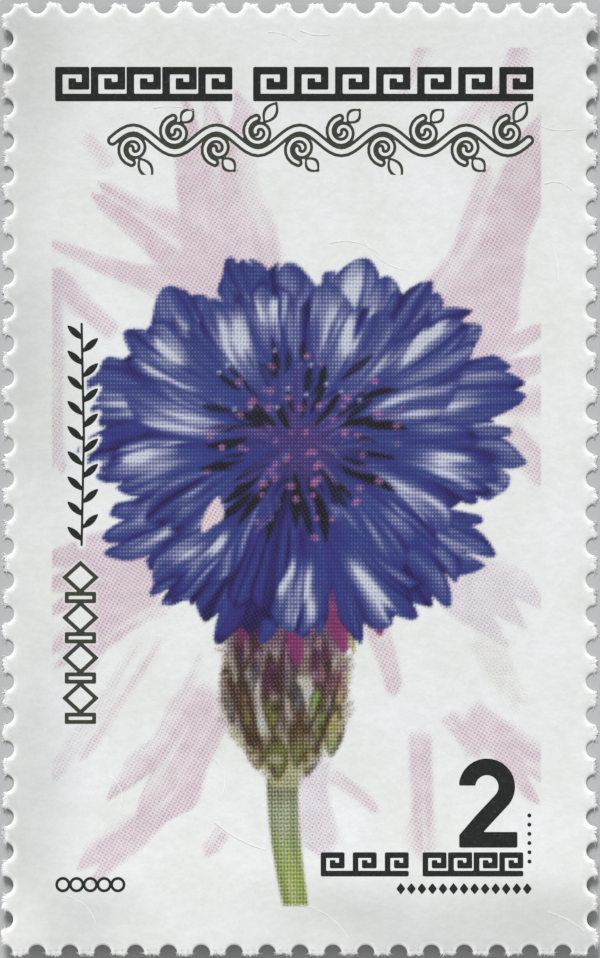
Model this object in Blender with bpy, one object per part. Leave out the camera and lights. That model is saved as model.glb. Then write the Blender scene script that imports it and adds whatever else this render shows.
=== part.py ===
"""A perforated postage stamp: one sheet of paper with a dry gum film on its back.

It lies face up on its gummed side. +Y is the top edge of the design, +Z is out of the printed face,
and the origin is on the resting surface under the middle of the sheet. Both ends curl up a little,
as gummed paper does, and the middle is flat.
"""

import math
import random

import bmesh
import bpy

MM = 0.001

# The perforation lines run through the hole centres, and the teeth are torn off along them.
ROW_WIDTH = 25.8 * MM
ROW_HEIGHT = 41.4 * MM
PITCHES_ACROSS = 18
PITCHES_UP = 28
HOLE_RADIUS = 0.39 * MM
HOLE_SEGMENTS = 8

# A torn tooth ends in a ragged line that wanders about the perforation line.
TEAR_POINTS = 3
TEAR_OUT = 0.11 * MM
TEAR_IN = 0.03 * MM
TEAR_SEED = 14

PAPER_THICKNESS = 0.10 * MM
GUM_THICKNESS = 0.02 * MM

# The curl: flat out to FLAT_HALF either side of the middle, then rising to each end.
FLAT_HALF = 10.5 * MM
CURL_BANDS = 5
TOP_RISE = 0.40 * MM
BOTTOM_RISE = 0.65 * MM


def edge_outline(start, end, pitches, tear):
    """Points along one side from the corner hole at start to the one at end, with the sheet on the left."""
    length = math.dist(start, end)
    along = ((end[0] - start[0]) / length, (end[1] - start[1]) / length)
    inward = (-along[1], along[0])
    pitch = length / pitches

    def place(distance, depth):
        return (
            start[0] + along[0] * distance + inward[0] * depth,
            start[1] + along[1] * distance + inward[1] * depth,
        )

    points = []
    for tooth in range(pitches):
        left = tooth * pitch + HOLE_RADIUS
        width = pitch - 2 * HOLE_RADIUS
        points.append(place(left, 0))
        for i in range(TEAR_POINTS):
            share = (i + 0.5 + tear.uniform(-0.25, 0.25)) / TEAR_POINTS
            points.append(place(left + width * share, -tear.uniform(-TEAR_IN, TEAR_OUT)))
        points.append(place(left + width, 0))
        if tooth < pitches - 1:
            hole = (tooth + 1) * pitch
            for i in range(1, HOLE_SEGMENTS):
                angle = math.pi * i / HOLE_SEGMENTS
                points.append(place(hole - HOLE_RADIUS * math.cos(angle), HOLE_RADIUS * math.sin(angle)))
    return points


def corner_arc(centre, first_angle):
    """The quarter of a corner hole that bites into the sheet, without its two ends."""
    steps = HOLE_SEGMENTS // 2
    angles = [first_angle - math.pi / 2 * i / steps for i in range(1, steps)]
    return [
        (centre[0] + HOLE_RADIUS * math.cos(a), centre[1] + HOLE_RADIUS * math.sin(a))
        for a in angles
    ]


def sheet_outline():
    """The whole perforated outline, counter-clockwise, centred on its own bounding box."""
    tear = random.Random(TEAR_SEED)
    x, y = ROW_WIDTH / 2, ROW_HEIGHT / 2
    corners = [(-x, -y), (x, -y), (x, y), (-x, y)]
    pitches = [PITCHES_ACROSS, PITCHES_UP, PITCHES_ACROSS, PITCHES_UP]
    points = []
    for side in range(4):
        points += corner_arc(corners[side], math.pi / 2 * (side + 1))
        points += edge_outline(corners[side], corners[(side + 1) % 4], pitches[side], tear)
    middle = [(min(p[k] for p in points) + max(p[k] for p in points)) / 2 for k in (0, 1)]
    return [(p[0] - middle[0], p[1] - middle[1]) for p in points]


def curl_lines():
    """Heights across the sheet as (y, lift) pairs from the bottom end to the top end."""
    end = ROW_HEIGHT / 2 + 2 * TEAR_OUT
    shares = [band / CURL_BANDS for band in range(CURL_BANDS + 1)]
    top = [(FLAT_HALF + (end - FLAT_HALF) * s, TOP_RISE * s**2) for s in shares]
    bottom = [(-FLAT_HALF - (end - FLAT_HALF) * s, BOTTOM_RISE * s**2) for s in shares]
    return bottom[::-1] + top


def lift(y, lines):
    """Height of the sheet at y, straight between neighbouring curl lines so that each band is flat."""
    for (y0, z0), (y1, z1) in zip(lines, lines[1:]):
        if y <= y1:
            return z0 + (z1 - z0) * (y - y0) / (y1 - y0)
    return lines[-1][1]


def layer(name, outline, lines, bottom, thickness, colour, roughness):
    """One closed layer of the sheet, from height bottom up, following the curl."""
    bm = bmesh.new()
    bm.faces.new([bm.verts.new((px, py, 0.0)) for px, py in outline])
    for y, _ in lines[1:-1]:
        bmesh.ops.bisect_plane(
            bm,
            geom=bm.verts[:] + bm.edges[:] + bm.faces[:],
            dist=1e-7,
            plane_co=(0, y, 0),
            plane_no=(0, 1, 0),
        )
    raised = bmesh.ops.extrude_face_region(bm, geom=bm.faces[:])["geom"]
    for v in bm.verts:
        v.co.z = bottom
    for v in raised:
        if isinstance(v, bmesh.types.BMVert):
            v.co.z = bottom + thickness
    for v in bm.verts:
        v.co.z += lift(v.co.y, lines)
    bmesh.ops.recalc_face_normals(bm, faces=bm.faces[:])

    mesh = bpy.data.meshes.new(name)
    bm.to_mesh(mesh)
    bm.free()
    mesh.materials.append(plain_material(name, colour, roughness))
    made = bpy.data.objects.new(name, mesh)
    bpy.context.scene.collection.objects.link(made)
    return made


def plain_material(name, colour, roughness):
    """A Principled material of one colour."""
    material = bpy.data.materials.new(name)
    material.use_nodes = True
    shader = material.node_tree.nodes["Principled BSDF"]
    shader.inputs["Base Color"].default_value = (*colour, 1.0)
    shader.inputs["Roughness"].default_value = roughness
    shader.inputs["Metallic"].default_value = 0.0
    return material


def main():
    for old in list(bpy.data.objects):
        bpy.data.objects.remove(old)
    outline = sheet_outline()
    lines = curl_lines()
    layer("gum_film", outline, lines, 0.0, GUM_THICKNESS, (0.86, 0.85, 0.80), 0.25)
    layer("stamp_paper", outline, lines, GUM_THICKNESS, PAPER_THICKNESS, (0.86, 0.87, 0.86), 0.55)


main()
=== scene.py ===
"""Looks of a perforated postage stamp with a cornflower printed on it.

The sheet is one closed mesh: a fine grid where the print is, a margin with the perforation, and walls that
are rolled at the punched holes and ragged at the torn teeth. The print is worked out here: painter functions
lay down a picture of average colours from back to front, each place is turned into the shares of four inks
that give its colour, and the paper's material breaks these up into screen dots. Solid black line work lies
on the paper as a film of ink.

Lengths are in millimetres up to the point where a mesh is made.
"""

import math
import random

import bpy
import numpy as np
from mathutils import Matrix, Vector
from mathutils.geometry import delaunay_2d_cdt


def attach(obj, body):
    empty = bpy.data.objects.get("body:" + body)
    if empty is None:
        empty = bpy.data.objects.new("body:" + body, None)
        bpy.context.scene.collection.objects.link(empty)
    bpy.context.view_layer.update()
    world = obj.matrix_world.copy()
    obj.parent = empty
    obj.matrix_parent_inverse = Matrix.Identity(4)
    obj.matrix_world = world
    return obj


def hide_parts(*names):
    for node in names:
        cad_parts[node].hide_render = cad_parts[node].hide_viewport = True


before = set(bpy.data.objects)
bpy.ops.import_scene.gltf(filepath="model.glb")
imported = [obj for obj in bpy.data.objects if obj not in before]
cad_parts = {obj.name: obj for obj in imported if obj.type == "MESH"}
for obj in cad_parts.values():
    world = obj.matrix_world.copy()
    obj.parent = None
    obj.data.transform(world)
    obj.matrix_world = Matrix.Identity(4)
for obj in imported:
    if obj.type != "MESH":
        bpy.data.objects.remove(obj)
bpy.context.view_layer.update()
MM = 0.001

# ----------------------------------------
# The sheet: the same perforation, tears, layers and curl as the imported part.

ROW_WIDTH, ROW_HEIGHT = 25.8, 41.4
PITCHES_ACROSS, PITCHES_UP = 18, 28
HOLE_RADIUS = 0.39
TEAR_POINTS, TEAR_OUT, TEAR_IN, TEAR_SEED = 3, 0.11, 0.03, 14
GUM_TOP = 0.02
PAPER_TOP = 0.12
FLAT_HALF, TOP_RISE, BOTTOM_RISE = 10.5, 0.40, 0.65

ARC_STEPS = 12  # per half hole
TEAR_STEPS = 5  # fine points between two coarse points of a tear
TEAR_FUZZ = 0.04
WAVE_HEIGHT = 0.009
FUZZ_SEED = 5
EDGE_CLEARANCE = 0.75  # how far inside the perforation lines the loose grid points stay
MARGIN_SPACING, GUM_SPACING, BACK_SPACING = 0.4, 0.6, 1.2

# Loops of the sheet's edge from the paper's back to its face: height, how far the punched edge is rolled
# back, how far the tear stays behind, and how bare and fibrous the paper is there.
EDGE_LOOPS = [
    (GUM_TOP, 0.0, 0.0, 1.0),
    (0.074, 0.040, 0.04, 0.95),
    (0.097, 0.110, 0.11, 0.55),
    (0.111, 0.180, 0.18, 0.2),
    (PAPER_TOP, 0.280, 0.28, 0.0),
]
CALM_ROLL = 0.30  # the roll at which nothing is left of the raggedness

# The printed area, which is a little off the middle of the sheet, and its two grids.
PRINT_LEFT, PRINT_RIGHT = -10.9, 10.6
PRINT_BOTTOM, PRINT_TOP = -18.8, 18.9
CELL = 0.1
FINE_STEP = 0.05


def lift(x, y):
    """Height of the sheet's underside: flat in the middle, curled up at both ends, and faintly wavy."""
    end = ROW_HEIGHT / 2 + 2 * TEAR_OUT
    share = np.clip((np.abs(y) - FLAT_HALF) / (end - FLAT_HALF), 0, None)
    rise = np.where(np.asarray(y) > 0, TOP_RISE, BOTTOM_RISE)
    waves = 2 + np.sin(x * 0.31 + y * 0.12 + 1.0) + np.sin(x * 0.17 - y * 0.23)
    return rise * share**2 + WAVE_HEIGHT * waves


def tear_line(width, tear, fuzz):
    """One torn tooth tip as (distance, depth out) pairs: the part's coarse tear with finer raggedness."""
    coarse = [(0.0, 0.0)]
    for i in range(TEAR_POINTS):
        share = (i + 0.5 + tear.uniform(-0.25, 0.25)) / TEAR_POINTS
        coarse.append((width * share, tear.uniform(-TEAR_IN, TEAR_OUT)))
    coarse.append((width, 0.0))
    fine = []
    for (x0, y0), (x1, y1) in zip(coarse, coarse[1:]):
        for k in range(TEAR_STEPS):
            share = k / TEAR_STEPS
            ragged = fuzz.uniform(-0.3, 1.7) * TEAR_FUZZ if fine else 0.0
            fine.append((x0 + (x1 - x0) * share, y0 + (y1 - y0) * share + ragged))
    return fine + [(width, 0.0)]


def side_outline(start, end, pitches, tear, fuzz, roll, held):
    """One side from the corner hole at start to the one at end, with the sheet on the left."""
    length = math.dist(start, end)
    along = ((end[0] - start[0]) / length, (end[1] - start[1]) / length)
    pitch = length / pitches
    radius = HOLE_RADIUS + roll

    def place(distance, inward):
        return (
            start[0] + along[0] * distance - along[1] * inward,
            start[1] + along[1] * distance + along[0] * inward,
        )

    points = []
    for tooth in range(pitches):
        left = tooth * pitch + HOLE_RADIUS
        width = pitch - 2 * HOLE_RADIUS
        for distance, out in tear_line(width, tear, fuzz):
            squeezed = roll + distance * (width - 2 * roll) / width
            points.append(place(left + squeezed, held - out * (1 - roll / CALM_ROLL)))
        if tooth < pitches - 1:
            hole = (tooth + 1) * pitch
            for i in range(1, ARC_STEPS):
                a = math.pi * i / ARC_STEPS
                points.append(place(hole - radius * math.cos(a), radius * math.sin(a)))
    return points


def sheet_outline(roll, held):
    """The whole perforated outline, counter-clockwise, on the middle of the perforation lines."""
    tear, fuzz = random.Random(TEAR_SEED), random.Random(FUZZ_SEED)
    x, y, radius = ROW_WIDTH / 2, ROW_HEIGHT / 2, HOLE_RADIUS + roll
    corners = [(-x, -y), (x, -y), (x, y), (-x, y)]
    pitches = [PITCHES_ACROSS, PITCHES_UP, PITCHES_ACROSS, PITCHES_UP]
    points = []
    for side in range(4):
        centre, first = corners[side], math.pi / 2 * (side + 1)
        for i in range(1, ARC_STEPS // 2):
            a = first - math.pi * i / ARC_STEPS
            points.append((centre[0] + radius * math.cos(a), centre[1] + radius * math.sin(a)))
        points += side_outline(centre, corners[(side + 1) % 4], pitches[side], tear, fuzz, roll, held)
    return points


def inside_sheet(x, y):
    """Whether a place is well inside the perforation."""
    return abs(x) < ROW_WIDTH / 2 - EDGE_CLEARANCE and abs(y) < ROW_HEIGHT / 2 - EDGE_CLEARANCE


def filled(outline, extra, hole=None):
    """Triangles over an outline and extra points inside it, leaving out the printed rectangle."""
    loops = [outline] + ([hole] if hole else [])
    points = [p for loop in loops for p in loop]
    edges, first = [], 0
    for loop in loops:
        edges += [(first + i, first + (i + 1) % len(loop)) for i in range(len(loop))]
        first += len(loop)
    points = [Vector(p) for p in points + extra]
    found, _, faces, origins, _, _ = delaunay_2d_cdt(points, edges, [], 1, 1e-7)
    if len(found) != len(points):
        raise RuntimeError("the outline crosses itself")
    order = [o[0] for o in origins]
    triangles = [[order[i] for i in f] for f in faces]
    if hole:
        triangles = [f for f in triangles if not in_print([points[i] for i in f])]
    return triangles


def in_print(corners):
    """Whether a triangle lies in the printed rectangle."""
    x = sum(c[0] for c in corners) / 3
    y = sum(c[1] for c in corners) / 3
    return PRINT_LEFT < x < PRINT_RIGHT and PRINT_BOTTOM < y < PRINT_TOP


def spread_points(spacing, keep=inside_sheet):
    """Points of a staggered grid well inside the sheet, where keep(x, y) is true."""
    points = []
    rows = round(ROW_HEIGHT / spacing)
    columns = round(ROW_WIDTH / spacing)
    for j in range(1, rows):
        for i in range(1, columns):
            x = -ROW_WIDTH / 2 + spacing * (i + 0.5 * (j % 2))
            y = -ROW_HEIGHT / 2 + spacing * j
            if inside_sheet(x, y) and keep(x, y):
                points.append((x, y))
    return points


def beside_print(x, y, gap=0.2):
    """Whether a place is in the margin, clear of the print."""
    out_x = x < PRINT_LEFT - gap or x > PRINT_RIGHT + gap
    out_y = y < PRINT_BOTTOM - gap or y > PRINT_TOP + gap
    return out_x or out_y


def make_object(name, vertices, faces, material):
    """An object from vertices in millimetres that rides on the sheet's body."""
    mesh = bpy.data.meshes.new(name)
    mesh.from_pydata([(x * MM, y * MM, z * MM) for x, y, z in vertices], [], faces)
    mesh.validate()
    mesh.materials.append(material)
    made = bpy.data.objects.new(name, mesh)
    bpy.context.scene.collection.objects.link(made)
    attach(made, "root")
    return made


def close_walls(loops):
    """Quads between loops of vertex numbers, each loop above the one before."""
    faces = []
    for low, high in zip(loops, loops[1:]):
        for i in range(len(low)):
            k = (i + 1) % len(low)
            faces.append((low[i], low[k], high[k], high[i]))
    return faces


class SheetMesh:
    """Vertices and faces of the paper sheet, collected part by part."""

    def __init__(self):
        self.vertices = []
        self.faces = []

    def add(self, points, height):
        """Add points at a height above the sheet's underside, and return their numbers."""
        first = len(self.vertices)
        self.vertices += [(x, y, height + float(lift(x, y))) for x, y in points]
        return list(range(first, len(self.vertices)))

    def add_grid(self):
        """The printed rectangle as a grid of quads; returns the numbers as rows."""
        xs = np.arange(PRINT_LEFT, PRINT_RIGHT + CELL / 2, CELL)
        ys = np.arange(PRINT_BOTTOM, PRINT_TOP + CELL / 2, CELL)
        rows = [self.add([(float(x), float(y)) for x in xs], PAPER_TOP) for y in ys]
        for low, high in zip(rows, rows[1:]):
            self.faces += [(low[i], low[i + 1], high[i + 1], high[i]) for i in range(len(low) - 1)]
        return rows


def border_numbers(rows):
    """Vertex numbers round a grid's border, counter-clockwise from its lower left corner."""
    bottom, top = rows[0], rows[-1]
    numbers = bottom[:-1] + [row[-1] for row in rows[:-1]]
    return numbers + top[:0:-1] + [row[0] for row in rows[:0:-1]]


def make_sheet(material, picture):
    """The paper sheet with the print on its face, as one closed mesh."""
    sheet = SheetMesh()
    rows = sheet.add_grid()
    outlines = [sheet_outline(roll, held) for _, roll, held, _ in EDGE_LOOPS]
    loops = [sheet.add(line, height) for line, (height, _, _, _) in zip(outlines, EDGE_LOOPS)]
    sheet.faces += close_walls(loops)

    extra, border = spread_points(MARGIN_SPACING, beside_print), border_numbers(rows)
    triangles = filled(outlines[-1], extra, [sheet.vertices[n][:2] for n in border])
    numbers = loops[-1] + border + sheet.add(extra, PAPER_TOP)
    sheet.faces += [tuple(numbers[i] for i in f) for f in triangles]

    extra = spread_points(BACK_SPACING)
    triangles = filled(outlines[0], extra)
    numbers = loops[0] + sheet.add(extra, GUM_TOP)
    sheet.faces += [tuple(numbers[i] for i in reversed(f)) for f in triangles]

    made = make_object("stamp_sheet", sheet.vertices, sheet.faces, material)
    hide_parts("stamp_paper")
    colour_sheet(made.data, rows, picture)
    wear_edges(made.data, loops)
    flat_uv(made.data)
    made.data.shade_smooth()
    made.data.set_sharp_from_angle(angle=math.radians(50))
    return made


def colour_sheet(mesh, rows, picture):
    """Write the shares of the four inks, and the levels of their screens, to the vertices."""
    shares = np.zeros((len(mesh.vertices), 4))
    inner = np.asarray(rows)[1:-1, 1:-1]
    shares[inner.ravel()] = picture.ink_shares()[1:-1, 1:-1].reshape(-1, 4)
    for name, values in (("shares", shares), ("levels", screen_levels(shares))):
        values = values.astype(np.float32)
        coloured = mesh.attributes.new(name, "FLOAT_VECTOR", "POINT")
        coloured.data.foreach_set("vector", values[:, :3].ravel())
        black = mesh.attributes.new("black_" + name, "FLOAT", "POINT")
        black.data.foreach_set("value", values[:, 3].ravel())


def wear_edges(mesh, loops):
    """Mark the walls and the rolled edge, where the paper is bare and fibrous."""
    wear = np.zeros(len(mesh.vertices), dtype=np.float32)
    for loop, (_, _, _, bare) in zip(loops, EDGE_LOOPS):
        wear[loop] = bare
    mesh.attributes.new("wear", "FLOAT", "POINT").data.foreach_set("value", wear)


def flat_uv(mesh):
    """Lay the face and walls out from above, and squeeze the hidden back into a strip below them."""
    strip, border = 0.02, 0.3
    half_x, half_y = ROW_WIDTH / 2 + border, ROW_HEIGHT / 2 + border
    layer = mesh.uv_layers.new(name="OFBake")
    for face in mesh.polygons:
        behind = face.normal.z < -0.5
        for corner in face.loop_indices:
            place = mesh.vertices[mesh.loops[corner].vertex_index].co / MM
            u = (place.x / half_x + 1) / 2
            v = (place.y / half_y + 1) / 2
            layer.data[corner].uv = (u, v * strip * 0.8 if behind else strip + v * (1 - strip))


def make_gum(material):
    """The dry gum on the back, with the sheet's outline."""
    gum = SheetMesh()
    outline = sheet_outline(0.0, 0.0)
    low, high = gum.add(outline, 0.0), gum.add(outline, GUM_TOP)
    gum.faces += close_walls([low, high])
    extra = spread_points(GUM_SPACING)
    triangles = filled(outline, extra)
    for loop, height, flip in ((low, 0.0, True), (high, GUM_TOP, False)):
        numbers = loop + gum.add(extra, height)
        order = [reversed(f) if flip else f for f in triangles]
        gum.faces += [tuple(numbers[i] for i in f) for f in order]
    made = make_object("gum_back", gum.vertices, gum.faces, material)
    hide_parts("gum_film")
    return made


# ----------------------------------------
# Painting tools. Colours are display values from 0 to 1; places and sizes are millimetres on the sheet.

PAPER = (0.935, 0.94, 0.94)


def smooth(low, high, value):
    """A soft step from 0 at low to 1 at high."""
    share = np.clip((value - low) / (high - low), 0.0, 1.0)
    return share * share * (3.0 - 2.0 * share)


class Noise:
    """Smooth seeded noise between -1 and 1 on a repeating lattice."""

    SIZE = 64

    def __init__(self, seed):
        self.table = np.random.default_rng(seed).uniform(-1.0, 1.0, (self.SIZE, self.SIZE))

    def at(self, x, y):
        x, y = np.broadcast_arrays(x, y)
        x0, y0 = np.floor(x).astype(int), np.floor(y).astype(int)
        fx, fy = smooth(0, 1, x - x0), smooth(0, 1, y - y0)
        t, n = self.table, self.SIZE
        low = t[y0 % n, x0 % n] * (1 - fx) + t[y0 % n, (x0 + 1) % n] * fx
        high = t[(y0 + 1) % n, x0 % n] * (1 - fx) + t[(y0 + 1) % n, (x0 + 1) % n] * fx
        return low * (1 - fy) + high * fy


NOISE = Noise(7)


def to_light(display):
    """Linear light from display values."""
    display = np.asarray(display, dtype=float)
    return np.where(display <= 0.04045, display / 12.92, ((display + 0.055) / 1.055) ** 2.4)


class Picture:
    """The colours to be printed, on a grid of fine points, as they average out over the screen dots."""

    def __init__(self):
        self.xs = np.arange(PRINT_LEFT, PRINT_RIGHT + FINE_STEP / 2, FINE_STEP)
        self.ys = np.arange(PRINT_BOTTOM, PRINT_TOP + FINE_STEP / 2, FINE_STEP)
        self.colour = np.ones((len(self.ys), len(self.xs), 3)) * PAPER
        self.inked = np.zeros((len(self.ys), len(self.xs)))

    def window(self, points, margin):
        """The part of the grid round some points: its slices and its places."""
        xs, ys = [p[0] for p in points], [p[1] for p in points]
        i0, i1 = np.searchsorted(self.xs, [min(xs) - margin, max(xs) + margin])
        j0, j1 = np.searchsorted(self.ys, [min(ys) - margin, max(ys) + margin])
        rows, columns = slice(j0, j1), slice(i0, i1)
        x, y = np.meshgrid(self.xs[columns], self.ys[rows])
        return (rows, columns), x, y

    def mix(self, area, colour, amount):
        """Take an area's colours some way towards a colour: the amount is 0 to 1 at each place."""
        self.colour[area] += (np.asarray(colour) - self.colour[area]) * amount[..., None]

    def glaze(self, area, cover, *layers):
        """Lay colours over one cover in turn; each layer is a colour and the share of the cover it takes."""
        for colour, share in layers:
            self.mix(area, colour, cover * share)

    def ink_shares(self):
        """Shares of cyan, magenta, yellow and black at the points of the sheet's coarse grid."""
        light = to_light(self.colour) / to_light(PAPER)
        padded = np.pad(light, ((1, 1), (1, 1), (0, 0)), mode="edge")
        rows = (padded[:-2] + 2 * padded[1:-1] + padded[2:]) / 4
        light = (rows[:, :-2] + 2 * rows[:, 1:-1] + rows[:, 2:]) / 4
        light = light[::2, ::2]
        return separate(np.clip(light.reshape(-1, 3), 0.004, 1.0)).reshape(*light.shape[:2], 4)


# How much red, green and blue light each ink lets through.
BLACK = 0.035
INKS = {
    "cyan": (0.06, 0.42, 0.70),
    "magenta": (0.62, 0.05, 0.30),
    "yellow": (0.98, 0.90, 0.12),
    "black": (BLACK, BLACK, BLACK),
}
DOT_EDGE = 0.42  # softness of the dots' edges
DOT_CONTRAST = 0.45  # how far the dots stand out from their average


def separate(light):
    """Shares of the four inks whose dots average out to these lights."""
    low, high = light.min(1), light.max(1)
    black = np.maximum(0.95 * np.clip(1 - high / 0.20, 0, 1), 0.5 * (1 - high) * (low / high))
    left = light / (1 - black * (1 - BLACK))[:, None]
    inks = np.array(list(INKS.values())[:3])
    shares = np.zeros((len(light), 3))
    for _ in range(10):
        for own in range(3):
            others = [i for i in range(3) if i != own]
            through = np.prod(1 - shares[:, others] * (1 - inks[others, own]), axis=1)
            wanted = (1 - left[:, own] / through) / (1 - inks[own, own])
            shares[:, own] = np.clip(wanted, 0, 1)
    return np.column_stack([shares, black])


def screen_wave(a, b):
    """The hill pattern whose tops become a screen's dots, from its two phases."""
    return 0.5 + 0.25 * (np.cos(a) + np.cos(b))


def screen_levels(shares):
    """The levels that a screen's hills are raised by so that its soft dots cover these shares."""
    phase = np.linspace(0, 2 * np.pi, 60, endpoint=False)
    hills = screen_wave(*np.meshgrid(phase, phase)).ravel()
    levels = np.linspace(-DOT_EDGE, 1 + DOT_EDGE, 80)
    covers = [smooth(-DOT_EDGE, DOT_EDGE, level + hills - 1).mean() for level in levels]
    return np.interp(shares, covers, levels)


def bent_line(start, end, bend, count=24):
    """Points of a line from start to end that bows to its left by bend."""
    length = math.dist(start, end)
    nx, ny = -(end[1] - start[1]) / length, (end[0] - start[0]) / length
    mx = (start[0] + end[0]) / 2 + 2 * bend * nx
    my = (start[1] + end[1]) / 2 + 2 * bend * ny
    points = []
    for i in range(count + 1):
        t = i / count
        a, b, c = (1 - t) ** 2, 2 * t * (1 - t), t * t
        points.append((a * start[0] + b * mx + c * end[0], a * start[1] + b * my + c * end[1]))
    return points


def line_coordinates(x, y, points):
    """For each place, its share along a line of points and its signed distance across it."""
    p = np.asarray(points)
    a, d = p[:-1], p[1:] - p[:-1]
    gx, gy = x[..., None] - a[:, 0], y[..., None] - a[:, 1]
    u = np.clip((gx * d[:, 0] + gy * d[:, 1]) / (d**2).sum(1), 0, 1)
    away = (gx - u * d[:, 0]) ** 2 + (gy - u * d[:, 1]) ** 2
    k = away.argmin(-1)[..., None]
    nearest = np.take_along_axis(away, k, -1)[..., 0]
    turn = np.take_along_axis(d[:, 0] * gy - d[:, 1] * gx, k, -1)[..., 0]
    along = (k + np.take_along_axis(u, k, -1))[..., 0] / len(d)
    return along, np.sqrt(nearest) * np.sign(turn)


def paint_stroke(picture, points, half, colour, strength=1.0, taper=0.6):
    """A short stroke along points, thinner towards both ends."""
    area, x, y = picture.window(points, half + 0.2)
    t, across = line_coordinates(x, y, points)
    width = half * (1 - taper * np.abs(2 * t - 1) ** 2)
    picture.mix(area, colour, strength * smooth(0.05, -0.05, np.abs(across) - width))


def paint_streak(picture, ends, bend, steps, half, colour, strength=1.0, taper=0.6):
    """A stroke between two ends that bows to its left."""
    paint_stroke(picture, bent_line(*ends, bend, steps), half, colour, strength, taper)


# ----------------------------------------
# The flower head: trumpet florets seen as toothed fans round a packed middle.

INK_BLUE = (0.17, 0.23, 0.56)
MID = (0.25, 0.295, 0.61)
SOFT = (0.48, 0.495, 0.81)
PALE = (0.765, 0.775, 0.99)
SHADOW = (0.09, 0.10, 0.28)
VIOLET = (0.30, 0.22, 0.44)
DARK = (0.10, 0.10, 0.14)
MAUVE = (0.62, 0.40, 0.58)
MAGENTA = (0.50, 0.19, 0.40)
HEART = (0.275, 0.235, 0.47)
HEART_RAY = (0.16, 0.17, 0.38)
TUBE = (0.30, 0.27, 0.56)
FILAMENT = (0.44, 0.38, 0.62)
PAPER_PINK = (0.87, 0.80, 0.85)

FLOWER = (-0.2, 1.7)
OVERRUN = 1.12  # the line that a petal is drawn along is this many times its reach
HEAD_SEED, HEART_SEED, WINDOW_SEED = 31, 12, 4

# Each floret: angle, reach, half width and bend in mm, lobes, depth of the clefts as a share, tone, gleam.
FLORETS = [
    (91, 8.0, 1.25, 0.2, 1, 0.06, 0.24, 1.0),
    (70, 8.7, 1.8, -0.5, 2, 0.08, 0.26, 1.2),
    (110, 8.8, 1.25, -0.3, 1, 0.08, 0.22, 1.0),
    (128, 8.9, 1.35, 0.6, 1, 0.10, 0.26, 1.2),
    (50, 9.3, 1.4, -0.6, 2, 0.08, 0.30, 1.1),
    (32, 9.9, 1.3, 0.5, 2, 0.12, 0.28, 1.2),
    (148, 9.4, 1.4, 0.6, 2, 0.14, 0.22, 1.2),
    (11, 10.6, 1.6, 0.6, 3, 0.07, 0.22, 1.0),
    (168, 9.9, 1.5, -0.5, 2, 0.10, 0.18, 1.3),
    (-9, 10.4, 1.6, 0.5, 3, 0.10, 0.24, 1.1),
    (187, 9.8, 1.5, -0.5, 3, 0.13, 0.18, 1.2),
    (-29, 10.4, 1.5, -0.6, 3, 0.15, 0.12, 1.0),
    (206, 9.9, 1.5, 0.6, 3, 0.12, 0.14, 1.0),
    (-49, 9.9, 1.6, 0.5, 3, 0.12, 0.10, 1.0),
    (226, 9.6, 1.5, 0.5, 3, 0.12, 0.08, 1.0),
    (-67, 9.3, 1.4, 0.4, 2, 0.12, 0.12, 1.0),
    (-85, 8.9, 1.4, -0.2, 3, 0.12, 0.10, 0.9),
    (247, 9.7, 1.4, 0.3, 2, 0.16, -0.04, 0.2),
    (-100, 9.1, 1.3, -0.2, 2, 0.18, -0.06, 0.2),
    (80, 7.1, 1.3, -0.5, 1, 0.10, 0.22, 1.1),
    (119, 7.3, 1.4, 0.5, 2, 0.12, 0.24, 1.2),
    (141, 7.5, 1.4, 0.6, 2, 0.16, 0.20, 1.2),
    (160, 7.9, 1.4, 0.5, 2, 0.14, 0.16, 1.2),
    (21, 8.0, 1.5, 0.6, 2, 0.12, 0.20, 1.2),
    (43, 7.4, 1.3, -0.5, 2, 0.12, 0.22, 1.2),
    (60, 7.0, 1.3, -0.4, 2, 0.12, 0.22, 1.1),
    (1, 8.2, 1.4, -0.5, 2, 0.12, 0.18, 1.1),
    (-20, 8.1, 1.5, 0.5, 2, 0.14, 0.16, 1.1),
    (186, 7.8, 1.5, 0.5, 2, 0.14, 0.16, 1.3),
    (210, 7.6, 1.4, -0.5, 2, 0.16, 0.10, 1.2),
    (236, 7.8, 1.4, -0.6, 2, 0.14, 0.14, 1.3),
    (-40, 7.9, 1.5, 0.6, 2, 0.14, 0.12, 1.3),
    (-60, 7.8, 1.5, 0.5, 2, 0.14, 0.16, 1.3),
    (258, 6.8, 1.4, -0.4, 2, 0.14, 0.12, 1.2),
]
# Florets in front of the others: where each one's throat is, and the fan as above.
FRONT = [
    ((2.4, 3.6), (36, 6.0, 1.25, -0.5, 2, 0.16, 0.30, 1.7)),
    ((-2.5, 1.0), (193, 6.2, 1.3, -0.6, 3, 0.14, 0.24, 1.7)),
    ((-2.4, 3.6), (147, 5.8, 1.3, 0.5, 2, 0.18, 0.26, 1.6)),
    ((-0.6, 4.6), (101, 4.2, 1.05, 0.3, 2, 0.18, 0.28, 1.6)),
    ((2.7, 0.9), (-16, 6.2, 1.3, 0.5, 3, 0.16, 0.20, 1.6)),
    ((1.3, -1.0), (-52, 6.6, 1.35, -0.6, 2, 0.16, 0.16, 1.7)),
    ((-2.2, -0.6), (222, 6.0, 1.3, 0.5, 2, 0.16, 0.14, 1.6)),
    ((0.0, -1.6), (-95, 5.4, 1.25, 0.4, 2, 0.18, 0.04, 1.4)),
]
DROOPING = [
    (-73, 9.6, 0.5, 0.1, 1, 0.10, 0.0, 0.3),
    (252, 8.6, 1.15, 0.25, 1, 0.10, -0.12, 0.1),
    (262, 8.3, 0.95, -0.15, 1, 0.10, -0.10, 0.1),
]


def spot(angle, reach):
    """A place at an angle in degrees and a distance in mm from the flower's middle."""
    a = math.radians(angle)
    return (FLOWER[0] + reach * math.cos(a), FLOWER[1] + reach * math.sin(a))


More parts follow.
